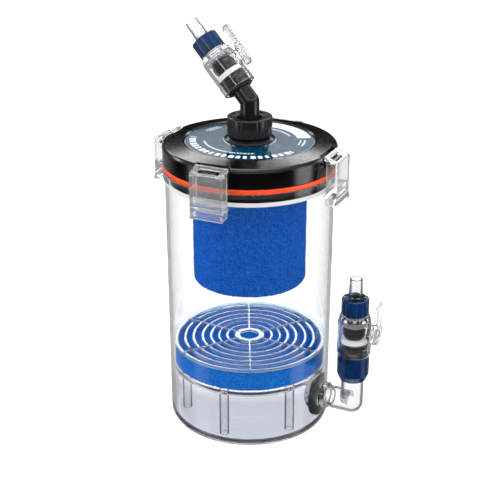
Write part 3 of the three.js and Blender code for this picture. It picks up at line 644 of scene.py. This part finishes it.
def lid_pieces():
    low, high = span("seal_ring")
    outer = high.y
    middle = (low.z + high.z) / 2
    dressed(lathe("seal", filleted([
        (71.9, low.z), (outer - 0.2, low.z, 1.4), (outer, middle, 1.6), (outer - 0.2, high.z, 1.4),
        (71.9, high.z)], steps=6), 192), "seal_ring")

    low, high = span("lid_window")
    boss = 17.6  # drawn thin, so that the threaded stem shows through it
    dressed(lathe("window", filleted([
        (16.85, low.z), (boss, low.z, 0.2), (boss, 264, 0.3), (62, 264, 0.6), (62, 267, 0.4),
        (57, 267, 0.4), (57, high.z, 0.5), (16.85, high.z)]), 160), "lid_window")

    low, high = span("lid_label")
    outline = filleted(rectangle(23.4, high.y, low.z, high.z), 0.08, steps=2)
    dressed(lathe("label", outline, 160), "lid_label")

    low, high = span("cartridge_top_cap")
    dressed(lathe("tray", filleted([
        (16.8, low.z), (high.y, low.z, 1), (high.y, high.z), (high.y - 1.6, high.z),
        (high.y - 1.6, low.z + 2.4, 2), (16.8, low.z + 2.4)]), 128), "cartridge_top_cap")
    low, high = span("cartridge_end_cap")
    dressed(lathe("end_cap", filleted([
        (0, low.z), (9, low.z, 1), (10, low.z + 5, 0.8), (24, low.z + 5.6, 1), (24, 140.1, 0.6),
        (12.6, 140.1), (12.6, high.z), (0, high.z)], closed=False), 96), "cartridge_end_cap")


def latch_shape():
    """One latch, hanging from its pin on the +X side, hollow behind with a rib across."""
    low, high = span("latch_1")
    half, foot = high.y, low.z
    inner, outer, front_top, back, back_top = 77.9, 88.0, 264.4, 75.6, 268.9
    wall, rib_top, catch_from, catch_top, reach = 2.3, 241.0, 231.4, 234.6, 75.9
    slope = (back_top - front_top) / (outer - back)

    def top_at(x):
        return back_top - slope * (x - back)

    outline = filleted([
        (inner, foot + 1.4, 0.4), (outer + 0.9, foot, 0.5), (outer + 0.9, foot + 2.7, 1.5),
        (outer, foot + 6, 3), (outer, front_top, 0.9), (back, back_top, 0.5),
        (back, back_top - wall - 0.6, 0.3), (inner, top_at(inner) - wall - 0.8, 0.3),
        (inner, catch_top, 0.3), (reach, catch_top, 0.3), (reach, catch_from + 1.3, 0.5),
        (inner, catch_from, 0.5)], steps=3)
    shell = moved(prism("latch", outline, -half, half), turn(90, "X"))
    hollow_back, front = back - 4, outer - wall
    upper = prism("upper", filleted([
        (hollow_back, rib_top, 0), (front, rib_top, 1.2), (front, top_at(front) - wall, 0.8),
        (hollow_back, top_at(hollow_back) - wall, 0)]), wall - half, half - wall)
    lower = block(hollow_back, front, wall - half, half - wall, foot - 5, catch_from - 0.2)
    slot = prism("slot", filleted(rectangle(79, 85, -9.8, 9.8), 0.8), front_top - 6, back_top + 2)
    rim = prism("rim", filleted(rectangle(77.6, 86.2, -11.4, 11.4), 1.2), 0, 4)
    lean = Matrix.Rotation(atan2(back_top - front_top, outer - back), 4, "Y")
    middle = 81.9
    moved(rim, shift(-middle, 0, 0), lean, shift(middle, 0, top_at(middle) - 0.7))
    hole = moved(rod(PIN_HOLE, -20, 20, 32), turn(90, "X"), shift(PIN_X, 0, PIN_Z))
    combined(shell, [moved(upper, turn(90, "X")), lower, slot, rim, hole])
    return softened(shell, 0.4, 3, angle=40)


def latches():
    pattern = latch_shape()
    low, high = span("latch_pin_1")
    for i in range(4):
        latch = bpy.data.objects.new("latch", pattern.data.copy())
        bpy.context.scene.collection.objects.link(latch)
        dressed(moved(latch, turn(90 * i, "Z")), f"latch_{i + 1}")
        profile = filleted([(0, low.y), (1.4, low.y), (1.4, high.y), (0, high.y)], closed=False)
        pin = moved(lathe("pin", profile, 32), turn(90, "X"), shift(PIN_X, 0, PIN_Z), turn(90 * i, "Z"))
        dressed(pin, f"latch_pin_{i + 1}")
    bpy.data.objects.remove(pattern)


# ---- Fittings ----

def thread(pitch, depth, low, high):
    """A lathe shape that cuts a thread between two heights."""
    def shape(radius, angle, z):
        if not low < z < high:
            return radius
        wave = 0.5 + 0.5 * cos(tau * (z / pitch - angle / tau))
        ends = smoothstep(low, low + pitch, z) * (1 - smoothstep(high - pitch, high, z))
        return radius - depth * wave * ends
    return shape


def flutes(count, depth, least_radius, sharpness=1.0):
    """A lathe shape with upright flutes round a nut, on everything beyond a radius."""
    def shape(radius, angle, z):
        if radius < least_radius:
            return radius
        wave = (0.5 + 0.5 * cos(count * angle)) ** sharpness
        return radius - depth * wave
    return shape


def inlet_fittings():
    low, high = span("inlet_bulkhead")
    stem, bore = 16.5, 13.0
    flange_from, rim, flange_top, flange_radius = 270.9, 271.9, 274.6, high.y
    profile = filleted([
        (bore, low.z), (stem, low.z, 0.6), (stem, flange_from, 0.2), (flange_radius, flange_from, 0.3),
        (flange_radius, rim, 0.3), (17, flange_top, 0.8), (15, flange_top, 0.3), (15, high.z, 0.4),
        (8.8, high.z, 0.3), (8.8, flange_from, 0.3), (bore, flange_from, 0.3)])
    threaded = thread(2.4, 0.75, low.z + 1, flange_from - 1.5)

    def outside_only(radius, angle, z):
        return threaded(radius, angle, z) if 16 < radius < 17 else radius

    dressed(lathe("bulkhead", dense(profile, 0.5), 128, outside_only), "inlet_bulkhead")

    low, high = span("inlet_gasket")
    outline = filleted(rectangle(16.8, high.y, low.z, high.z), 0.15)
    dressed(lathe("gasket", outline, 96), "inlet_gasket")

    low, high = span("inlet_union_nut")
    outer, lip = 19.9, 3.2
    profile = filleted([
        (15.35, low.z, 0.3), (outer, low.z, 0.7), (outer, high.z, 1.5), (outer - 3.6, high.z, 0.4),
        (outer - 4.2, high.z - 1.2, 0.5), (11.1, high.z - 1.4, 0.4), (11.1, high.z - lip),
        (15.35, high.z - lip)], steps=5)
    ribs = flutes(16, 0.45, outer - 0.9, 12)
    dressed(lathe("union_nut", profile, 240, ribs), "inlet_union_nut")


def bent_pipe(name, corner, first, second, outside, bore, segments=72, bend_steps=8):
    """A pipe with one sharp bend. outside and bore list (leg, distance from the corner, radius), from
    the free end of leg 0 to the free end of leg 1, with a bend where the leg changes."""
    corner, legs = Vector(corner), (Vector(first).normalized(), Vector(second).normalized())
    normal = legs[0].cross(legs[1]).normalized()
    flow_in, flow_out = -legs[0], legs[1]
    bend = flow_in.angle(flow_out)
    spin = 1 if flow_in.cross(flow_out).dot(normal) > 0 else -1
    mitre = Matrix.Rotation(spin * bend / 2, 4, normal) @ flow_in
    bm = bmesh.new()

    def ring_at(centre, direction, radius, leg=None):
        """Points round the pipe. On the inside of the bend they stop at the mitre."""
        outward = direction.cross(normal) * spin
        ring = []
        for i in range(segments):
            angle = tau * i / segments
            offset = outward * cos(angle) * radius + normal * sin(angle) * radius
            if leg is None and cos(angle) < 0:
                straight = flow_in.cross(normal) * spin
                offset = straight * cos(angle) * radius
                offset += flow_in * (-offset.dot(mitre) / flow_in.dot(mitre))
                offset += normal * sin(angle) * radius
            ring.append(bm.verts.new((centre + offset) * MM))
        return ring

    def skin(stations):
        rings = []
        for index, (leg, distance, radius) in enumerate(stations):
            if index and stations[index - 1][0] != leg:
                for step in range(bend_steps + 1):
                    swing = Matrix.Rotation(spin * bend * step / bend_steps, 4, normal)
                    rings.append(ring_at(corner, swing @ flow_in, radius))
            direction = flow_out if leg else flow_in
            rings.append(ring_at(corner + legs[leg] * distance, direction, radius, leg))
        return rings

    outer_rings, inner_rings = skin(outside), skin(bore)
    loop = outer_rings + inner_rings[::-1]
    loop.append(outer_rings[0])
    for one, other in zip(loop, loop[1:]):
        joined(bm, one, other)
    bmesh.ops.remove_doubles(bm, verts=bm.verts, dist=1e-6)
    bmesh.ops.dissolve_degenerate(bm, edges=bm.edges, dist=1e-6)
    return solid(name, bm)


def rounded_run(leg, points, default=0.4):
    """Stations along one leg, from (distance, radius) corners."""
    return [(leg, distance, radius) for distance, radius in filleted(points, default, closed=False)]


# ---- Ball valves ----
# Each is built standing on z = 0, with its lever on the +X side, and then put in its place.

BODY_RADIUS = 15.4
BODY_LENGTH = 39.0
BALL_HEIGHT = 23.0
BALL_RADIUS = 10.5
SEAT_RADIUS = 11.6
CAVITY_RADIUS = 11.9
SOCKET_RADIUS = 12.9
SOCKET_DEPTH = 12.2
CAVITY_TOP = 33.7
NECK_RADIUS = 10.0
NECK_TOP = 50.4
ARROW_HEIGHT = 4.4
SEAT_BORE = 5.2
SEAT_HOLLOW = 10.8  # radius of its hollow face, a little more than the ball's
SEAT_HEIGHT, SEAT_GAP = 4.2, 0.2
PIPE_RADIUS = 8.5
HUB_RADIUS, HUB_FROM, HUB_TO = 10.3, 17.6, 23.2
LEVER_TIP, LEVER_HALF = 52.0, 6.6
RIDGE_PITCH, RIDGE_WIDTH = 3, 1.4
NUT_FROM, NUT_TOP, NUT_RADIUS = 39.4, 54.8, 12.3
NOZZLE_TIP = 73.5


def valve_place(prefix):
    """Where a valve stands, from the axes of its lever and its hose nut."""
    lever_turn, nut_turn = JOINT_OF[f"{prefix}_lever_turn"], JOINT_OF[f"{prefix}_hose_nut_turn"]
    lever, flow = Vector(lever_turn["axis"]), Vector(nut_turn["axis"])
    place = Matrix((lever, flow.cross(lever), flow)).transposed().to_4x4()
    place.translation = Vector(lever_turn["pos_m"]) - flow * BALL_HEIGHT * MM
    return place


def across(piece):
    """A piece made along +Z, laid along +X at the height of the ball."""
    return moved(piece, turn(90, "Y"), shift(0, 0, BALL_HEIGHT))


def valve_body(facing):
    """The clear body: a stepped chamber with a side boss and a raised flow arrow."""
    shell = lathe("body", filleted([
        (SOCKET_RADIUS, 0, 0.3), (BODY_RADIUS, 0, 0.6), (BODY_RADIUS, 8.2, 0.3),
        (BODY_RADIUS - 0.35, 8.6, 0.3), (BODY_RADIUS - 0.35, 30.5, 2.2), (14.3, 35.6, 2.4),
        (12.7, BODY_LENGTH, 0.8),
        (NECK_RADIUS, BODY_LENGTH, 0.3), (NECK_RADIUS, NECK_TOP, 0.5), (6.8, NECK_TOP, 0.4),
        (6.8, BODY_LENGTH - 1, 0.4), (5, BODY_LENGTH - 2, 0.4), (5, CAVITY_TOP, 0.4),
        (CAVITY_RADIUS, CAVITY_TOP, 0.5), (CAVITY_RADIUS, SOCKET_DEPTH, 0.2),
        (SOCKET_RADIUS, SOCKET_DEPTH, 0.3)]), 96)
    boss = across(lathe("boss", filleted([
        (0, 13.2), (7.4, 13.2, 0), (7.2, 17.2, 0.5), (0, 17.2)], closed=False), 64))
    combined(shell, [boss, flow_arrow(facing)], "UNION")
    cavity = rod(CAVITY_RADIUS, SOCKET_DEPTH + 0.2, CAVITY_TOP - 0.5, 96)
    stem_hole = across(rod(3.05, 8, 20, 40))
    return combined(shell, [cavity, stem_hole])


def flow_arrow(facing):
    """A raised arrow round the body's lower band. facing is the direction it looks, in degrees."""
    shaft = [(-6.4, -0.7), (2.2, -0.7), (2.2, -2.3), (6.2, 0), (2.2, 2.3), (2.2, 0.7), (-6.4, 0.7)]
    bm = bmesh.new()
    outline = dense(filleted(shaft, 0.25, steps=2), 1.0)
    inner, outer = [], []
    for ring, reach in ((inner, BODY_RADIUS - 0.5), (outer, BODY_RADIUS + 0.45)):
        for along, up in outline:
            angle = radians(facing) + along / BODY_RADIUS
            ring.append(bm.verts.new(polar(reach, angle, ARROW_HEIGHT + up)))
    bm.faces.new(inner)
    bm.faces.new(outer)
    joined(bm, inner, outer)
    bmesh.ops.triangulate(bm, faces=[face for face in bm.faces if len(face.verts) > 4])
    return solid("arrow", bm)


def valve_ball():
    rows = [(BALL_RADIUS * sin(a), BALL_RADIUS * cos(a)) for a in (pi - pi * i / 40 for i in range(41))]
    rows[0] = (0, rows[0][1])
    rows[-1] = (0, rows[-1][1])
    ball = lathe("ball", rows, 72)
    pocket = moved(rod(3.0, 8.3, 20, 32), turn(90, "Y"))
    combined(ball, [rod(5, -20, 20, 48), pocket])
    return moved(softened(ball, 0.3, 2, angle=40), shift(0, 0, BALL_HEIGHT))


def seat(low):
    """A seat ring, hollowed to fit round the ball."""
    high = low + SEAT_HEIGHT
    profile = []
    for i in range(9):
        z = low + (high - low) * i / 8
        hollow = max(0, SEAT_HOLLOW ** 2 - (z - BALL_HEIGHT) ** 2) ** 0.5
        profile.append((max(SEAT_BORE, hollow), z))
    return lathe("seat", [*profile, (SEAT_RADIUS, high), (SEAT_RADIUS, low)], 72)


def valve_handle():
    """A hollow round hub with a screw cap, and a ribbed lever that lies along the flow."""
    hub = across(lathe("hub", filleted([
        (0, 8.6), (2.7, 8.6, 0.3), (2.7, HUB_FROM + 3.6, 0.6), (8.4, HUB_FROM + 3.6, 0.8),
        (8.6, HUB_FROM, 0.3), (HUB_RADIUS, HUB_FROM, 0.4), (HUB_RADIUS, HUB_TO - 0.4, 1.4),
        (6.6, HUB_TO, 0.4), (6.2, HUB_TO - 0.9, 0.4), (4.2, HUB_TO - 0.9, 0.3),
        (3.9, HUB_TO + 0.5, 0.7), (0, HUB_TO + 0.5)], closed=False), 72))
    lever = prism("lever", filleted([
        (18.2, -LEVER_HALF, 0.8), (HUB_TO, -LEVER_HALF, 1.2), (HUB_TO, LEVER_HALF, 1.2),
        (18.2, LEVER_HALF, 0.8)]), BALL_HEIGHT + 7.2, LEVER_TIP)
    groove = block(17, HUB_TO - 1.7, 1.5 - LEVER_HALF, LEVER_HALF - 1.5, BALL_HEIGHT + 11, LEVER_TIP - 1.6)
    combined(lever, [groove])
    softened(lever, 0.5, 3, angle=50)
    ridges = []
    half = LEVER_HALF - 0.7
    height = BALL_HEIGHT + 13
    facing_x = Matrix(((0, 0, 1, 0), (1, 0, 0, 0), (0, 1, 0, 0), (0, 0, 0, 1)))
    while height + RIDGE_WIDTH < LEVER_TIP - 1:
        outline = filleted(rectangle(-half, half, height, height + RIDGE_WIDTH), 0.5)
        ridges.append(moved(prism("ridge", outline, HUB_TO - 0.5, HUB_TO + 0.8), facing_x))
        height += RIDGE_PITCH
    return combined(hub, [lever, *ridges], "UNION")


def seal_carrier(tail):
    """The black threaded ring that closes the body, with a tail into the union nut below."""
    outer, top, foot = SOCKET_RADIUS - 0.3, SOCKET_DEPTH - 0.1, 0.8
    points = [(PIPE_RADIUS + 0.3, top), (PIPE_RADIUS + 0.3, foot if not tail else -tail)]
    if tail:
        points += [(12, -tail, 0.4), (12, foot, 0.2)]
    points += [(outer, foot, 0.3), (outer, top - 4.6, 0.3), (outer - 0.9, top - 4.2, 0.2),
               (outer - 0.9, top - 3.1, 0.2), (outer, top - 2.8, 0.2), (outer, top, 0.3)]
    threaded = thread(2.3, 0.9, foot, top - 4.7)

    def outside_only(radius, angle, z):
        return threaded(radius, angle, z) if radius > outer - 0.5 else radius

    return lathe("carrier", dense(filleted(points, 0.2), 0.45), 96, outside_only)


def hose_nut():
    profile = filleted([
        (NECK_RADIUS + 0.35, NUT_FROM, 0.2), (NUT_RADIUS, NUT_FROM, 0.5), (NUT_RADIUS, NUT_TOP - 0.4, 1.0),
        (NUT_RADIUS - 2.0, NUT_TOP, 0.5), (8.9, NUT_TOP - 0.4, 0.4), (7.8, NUT_TOP - 1.2, 0.3),
        (7.8, 53, 0.2), (NECK_RADIUS + 0.35, 53, 0.2)])
    return lathe("hose_nut", profile, 240, flutes(12, 0.95, NUT_RADIUS - 1.2, 3))


def nozzle():
    """A tapered hose tail with a conical collar inside the nut's mouth."""
    return lathe("nozzle", filleted([
        (4.3, 44, 0.2), (6.5, 44, 0.4), (6.5, 50.7, 0.2), (9.7, 50.7, 0.3), (9.7, 52.7, 0.3),
        (7.2, 52.7, 0.3), (6.9, 56.2, 0.4), (6.35, 57.2, 0.5), (5.6, NOZZLE_TIP, 0.9),
        (4.3, NOZZLE_TIP, 0.4)]), 80)


def ball_valve(prefix, tail, facing):
    place = valve_place(prefix)
    pieces = {
        "valve_body": valve_body(facing),
        "ball": valve_ball(),
        "lower_seat": seat(SOCKET_DEPTH + SEAT_GAP),
        "upper_seat": seat(CAVITY_TOP - SEAT_GAP - SEAT_HEIGHT),
        "seal_carrier": seal_carrier(tail),
        "handle": valve_handle(),
        "hose_nut": hose_nut(),
        "nozzle": nozzle(),
    }
    for name, piece in pieces.items():
        dressed(moved(piece, place), f"{prefix}_{name}")
    return place


def inlet_line():
    place = ball_valve("inlet", 0, -100)
    corner = Vector((0, 0, 304.9))
    flow = place.to_3x3() @ Vector((0, 0, 1))
    to_valve = (place.translation / MM - corner).length
    foot, collar, collar_height = 278.1, 284.1, 4.2
    wide = PIPE_RADIUS + 4.6
    lower = rounded_run(0, [
        (corner.z - foot, PIPE_RADIUS), (corner.z - collar, PIPE_RADIUS), (corner.z - collar, wide),
        (corner.z - collar - collar_height, wide), (corner.z - collar - collar_height, PIPE_RADIUS, 0.6),
        (1, PIPE_RADIUS)])
    upper = [(1, 1, PIPE_RADIUS), (1, to_valve + 9, PIPE_RADIUS)]
    bore = PIPE_RADIUS - 2.3
    inside = [(0, corner.z - foot, bore), (0, 1, bore), (1, 1, bore), (1, to_valve + 9, bore)]
    elbow = bent_pipe("elbow", corner, (0, 0, -1), flow, lower + upper, inside)
    dressed(elbow, "inlet_elbow", flat_faces=False)
    o_ring = lathe("o_ring", filleted(rectangle(8.8, 12.2, -1.7, -0.3), 0.6), 72)
    dressed(moved(o_ring, place), "inlet_o_ring")


def outlet_line():
    place = ball_valve("outlet", 12.0, -68)
    leg_x, base = place.translation.x / MM, place.translation.z / MM
    bulkhead_low, bulkhead_high = span("outlet_bulkhead")
    height = (bulkhead_low.z + bulkhead_high.z) / 2
    along_x = (turn(90, "Y"), shift(0, 0, height))

    low, high = span("outlet_washer")
    washer = moved(lathe("washer", filleted([
        (10.9, low.x), (20, low.x, 1.2), (20, 80), (10.9, 80)]), 96), *along_x)
    wall = rod(71.5, 0, 80, 192)
    dressed(combined(washer, [wall], "INTERSECT"), "outlet_washer")

    low, high = span("outlet_locknut")
    nut = lathe("locknut", filleted([
        (10.9, low.x), (13.4, low.x, 0.6), (13.4, high.x - 1.6, 0.4), (15, high.x - 1.4, 0.4),
        (15, high.x), (10.9, high.x)]), 120, flutes(6, 1.3, 12.6))
    dressed(moved(nut, *along_x), "outlet_locknut")

    collar_end = bulkhead_high.x
    body = lathe("bulkhead", filleted([
        (7.9, bulkhead_low.x, 0.3), (10.6, bulkhead_low.x, 0.5), (10.6, 70, 0), (12.2, 70, 0),
        (12.2, collar_end, 0.8), (7.9, collar_end, 0.3)]), 96)
    moved(body, *along_x)
    shell = lathe("wall", rectangle(71, 75, 0, 80), 192)
    port = moved(lathe("port", rectangle(10.65, 14, 60, 90), 96), *along_x)
    ledge = moved(lathe("ledge", rectangle(10.65, 14, 60, 72.4), 96), *along_x)
    combined(shell, [port], "INTERSECT")
    dressed(combined(body, [shell, ledge]), "outlet_bulkhead")

    elbow_low, elbow_high = span("outlet_elbow")
    pipe, bore, spigot, spigot_bore = 10.3, 7.9, 7.6, 6.2
    corner = Vector((leg_x, 0, height))
    start = leg_x - collar_end - 0.3
    flange_top = base - 13.2 - height
    flange_low = flange_top - 3.2
    end = elbow_high.z - height
    tip = leg_x - elbow_low.x
    outside = rounded_run(0, [(tip, spigot), (start, spigot), (start, pipe, 0.5), (1, pipe)])
    outside += rounded_run(1, [
        (1, pipe), (flange_low, pipe), (flange_low, 12.1), (flange_top, 12.1), (flange_top, PIPE_RADIUS),
        (end, PIPE_RADIUS)])
    inside = rounded_run(0, [(tip, spigot_bore), (start - 4, spigot_bore), (start - 4.4, bore), (1, bore)])
    inside += rounded_run(1, [
        (1, bore), (flange_low - 2, bore), (flange_low - 1.4, spigot_bore), (end, spigot_bore)])
    elbow = bent_pipe("elbow", corner, (-1, 0, 0), (0, 0, 1), outside, inside)
    dressed(elbow, "outlet_elbow", flat_faces=False)

    low, high = span("outlet_o_ring")
    o_ring = lathe("o_ring", filleted(rectangle(8.8, 11.8, low.z, high.z), 0.3), 72)
    dressed(moved(o_ring, shift(leg_x, 0, 0)), "outlet_o_ring")

    low, high = span("outlet_union_nut")
    outer, bottom = 14.5, 11.9
    union = lathe("union", filleted([
        (10.65, low.z, 0.3), (bottom, low.z, 0.5), (outer, low.z + 6, 0.8), (outer, high.z, 0.6),
        (12.6, high.z, 0.3), (12.6, 65.2, 0.3), (10.65, 65.2, 0.3)]), 240, flutes(12, 0.3, 13.2, 2))
    dressed(moved(union, shift(leg_x, 0, 0)), "outlet_union_nut")


# ---- Studio ----

def floor():
    """The ground, which glows like a lit sweep, less so for what it lights than for the camera."""
    bm = bmesh.new()
    bmesh.ops.create_circle(bm, cap_ends=True, segments=96, radius=12.0)
    piece = solid("floor", bm)
    piece.data.transform(Matrix.Translation((0, 0, -0.0005)))
    material = bpy.data.materials.new("floor")
    graph = Graph(material)
    tone = graph.ramp(graph.noise(3, 2), 0.3, 0.7)
    graph.set(Base_Color=graph.mixed(tone, (0.1, 0.1, 0.1), (0.12, 0.12, 0.12)), Roughness=0.9)
    reflections = graph.add("LightPath").outputs["Glossy Depth"]
    once = graph.ramp(reflections, 0.0, 1.0, 1.15, 0.1)
    glow = graph.plus(once, graph.ramp(reflections, 1.0, 2.0, 0.0, 0.8))
    matte = graph.add("LightPath").outputs["Diffuse Depth"]
    glow = graph.times(glow, graph.ramp(matte, 0.0, 1.0, 1.0, 0.7))
    graph.set(Specular_IOR_Level=0.0, Emission_Color=(1, 1, 1, 1), Emission_Strength=glow)
    piece.data.materials.append(material)
    piece.visible_glossy = False  # reflections see the studio instead, so black plastic stays black


STRIP_SIDE = 74  # degrees round from the camera to each strip light
LEFT_STRIP, RIGHT_STRIP = 0.7, 1.2
LEFT_SIDE, RIGHT_SIDE = 1.6, 0.9
BACKDROP = 1.15


def studio():
    """A dark studio with a band of light, a softbox overhead, a light underneath and a strip light on
    each side. Matte surfaces are also lit from both sides, and what is seen directly, past the floor's
    edge, is a pale backdrop."""
    world = bpy.data.worlds.new("studio")
    bpy.context.scene.world = world
    graph = Graph(world)
    direction = graph.add("TexCoord").outputs["Generated"]
    height = graph.add("SeparateXYZ", {"Vector": direction}).outputs[2]
    flat = graph.add("VectorMath", {0: direction, 1: (1, 1, 0)}, operation="MULTIPLY").outputs[0]
    heading = graph.add("VectorMath", {0: flat}, operation="NORMALIZE").outputs[0]

    def toward(degrees):
        """1 for what lies that many degrees round from the camera, and -1 for the opposite side."""
        aim = radians(CAMERA_AZIMUTH + degrees - 90)
        inputs = {0: heading, 1: (cos(aim), sin(aim), 0)}
        return graph.add("VectorMath", inputs, operation="DOT_PRODUCT").outputs["Value"]

    facing = toward(0)
    rising = graph.ramp(height, -0.06, 0.0)
    wall = graph.ramp(facing, -0.75, -0.3, 0.3, 0.016)
    sky = graph.ramp(facing, -0.99, -0.85, 0.012, 0.19)
    below = graph.math("SUBTRACT", 1.0, rising)
    brightness = graph.plus(graph.times(rising, sky), graph.times(below, wall))
    band = graph.times(graph.ramp(height, 0.39, 0.43), graph.ramp(height, 0.485, 0.51, 4.5, 0.0))
    ceiling = graph.ramp(height, 0.6, 0.7, 0.0, 0.35)
    overhead = graph.ramp(height, 0.86, 0.92, 0.0, 2.6)
    underneath = graph.ramp(height, -0.97, -0.86, 1.8, 0.0)
    for light in (band, ceiling, overhead, underneath):
        brightness = graph.plus(brightness, light)

    # Each strip is in two lengths with a gap between them, and dimmer above the horizon.
    upper = graph.ramp(height, -0.362, -0.342, 0.0, 2.6)
    upper = graph.times(upper, graph.ramp(height, -0.1, 0.1, 1.0, 0.18))
    upper = graph.times(upper, graph.ramp(height, 0.55, 0.7, 1.0, 0.0))
    lower = graph.times(graph.ramp(height, -0.75, -0.6), graph.ramp(height, -0.49, -0.46, 1.0, 0.0))
    lengths = graph.plus(upper, lower)
    for side, strength in ((-STRIP_SIDE, LEFT_STRIP), (STRIP_SIDE, RIGHT_STRIP)):
        strip = graph.ramp(toward(side), cos(radians(17)), cos(radians(4)), 0.0, strength)
        brightness = graph.plus(brightness, graph.times(strip, lengths))

    across = toward(STRIP_SIDE)
    sides = graph.plus(graph.ramp(across, 0.1, 0.95, 0.0, RIGHT_SIDE),
                       graph.ramp(across, -0.95, -0.1, LEFT_SIDE, 0.0))
    path = graph.add("LightPath")
    matte = graph.ramp(path.outputs["Diffuse Depth"], 0.0, 1.0)
    brightness = graph.plus(brightness, graph.times(matte, sides))
    bounces = graph.plus(path.outputs["Diffuse Depth"], path.outputs["Glossy Depth"])
    seen_directly = graph.ramp(bounces, 0.0, 1.0, BACKDROP, 0.0)
    backdrop = graph.times(seen_directly, graph.ramp(height, 0.2, 0.35, 1.0, 0.0))
    background = graph.tree.nodes["Background"]
    graph.tree.links.new(graph.math("MAXIMUM", brightness, backdrop), background.inputs["Strength"])
    background.inputs["Color"].default_value = (1, 1, 1, 1)


CAMERA_DISTANCE, CAMERA_HEIGHT, CAMERA_SIDE = 0.96547, 0.57682, -0.01009  # metres from the origin
CAMERA_PITCH, CAMERA_YAW, CAMERA_ROLL = 22.63, -0.078, -0.126  # degrees
CAMERA_LENS = 86.1  # millimetres, on a sensor 36 wide


def camera():
    """The photograph's view: a little over 20 degrees down, from CAMERA_AZIMUTH right of the front."""
    data = bpy.data.cameras.new("camera")
    data.sensor_width = 36
    data.lens = CAMERA_LENS
    data.clip_start = 0.01
    data.clip_end = 60
    view = bpy.data.objects.new("camera", data)
    azimuth = radians(CAMERA_AZIMUTH)
    right = Vector((cos(azimuth), sin(azimuth), 0))
    away = Vector((-sin(azimuth), cos(azimuth), 0))
    place = right * CAMERA_SIDE - away * CAMERA_DISTANCE + Vector((0, 0, CAMERA_HEIGHT))
    pitch, yaw, roll = radians(CAMERA_PITCH), radians(CAMERA_YAW), radians(CAMERA_ROLL)
    spin = Matrix.Rotation(azimuth + yaw, 4, "Z") @ Matrix.Rotation(pi / 2 - pitch, 4, "X")
    view.matrix_world = Matrix.Translation(place) @ spin @ Matrix.Rotation(roll, 4, "Z")
    bpy.context.scene.collection.objects.link(view)
    bpy.context.scene.camera = view


# ---- Build ----

camera()
floor()
studio()
barrel()
sponge_stage()
sponges()
lid_ring()
lid_pieces()
latches()
inlet_fittings()
inlet_line()
outlet_line()

# Pieces that are hidden inside keep their CAD shape, with the finished materials.
for node in ("cartridge_core", "inlet_locknut"):
    piece = frame["nodes"][node]
    piece.data.materials.clear()
    piece.data.materials.append(MATERIALS[SLOT_OF[node]])

scene = bpy.context.scene
scene.view_settings.view_transform = "Standard"
scene.cycles.max_bounces = 24
scene.cycles.transmission_bounces = 24
scene.cycles.glossy_bounces = 8
scene.cycles.transparent_max_bounces = 16
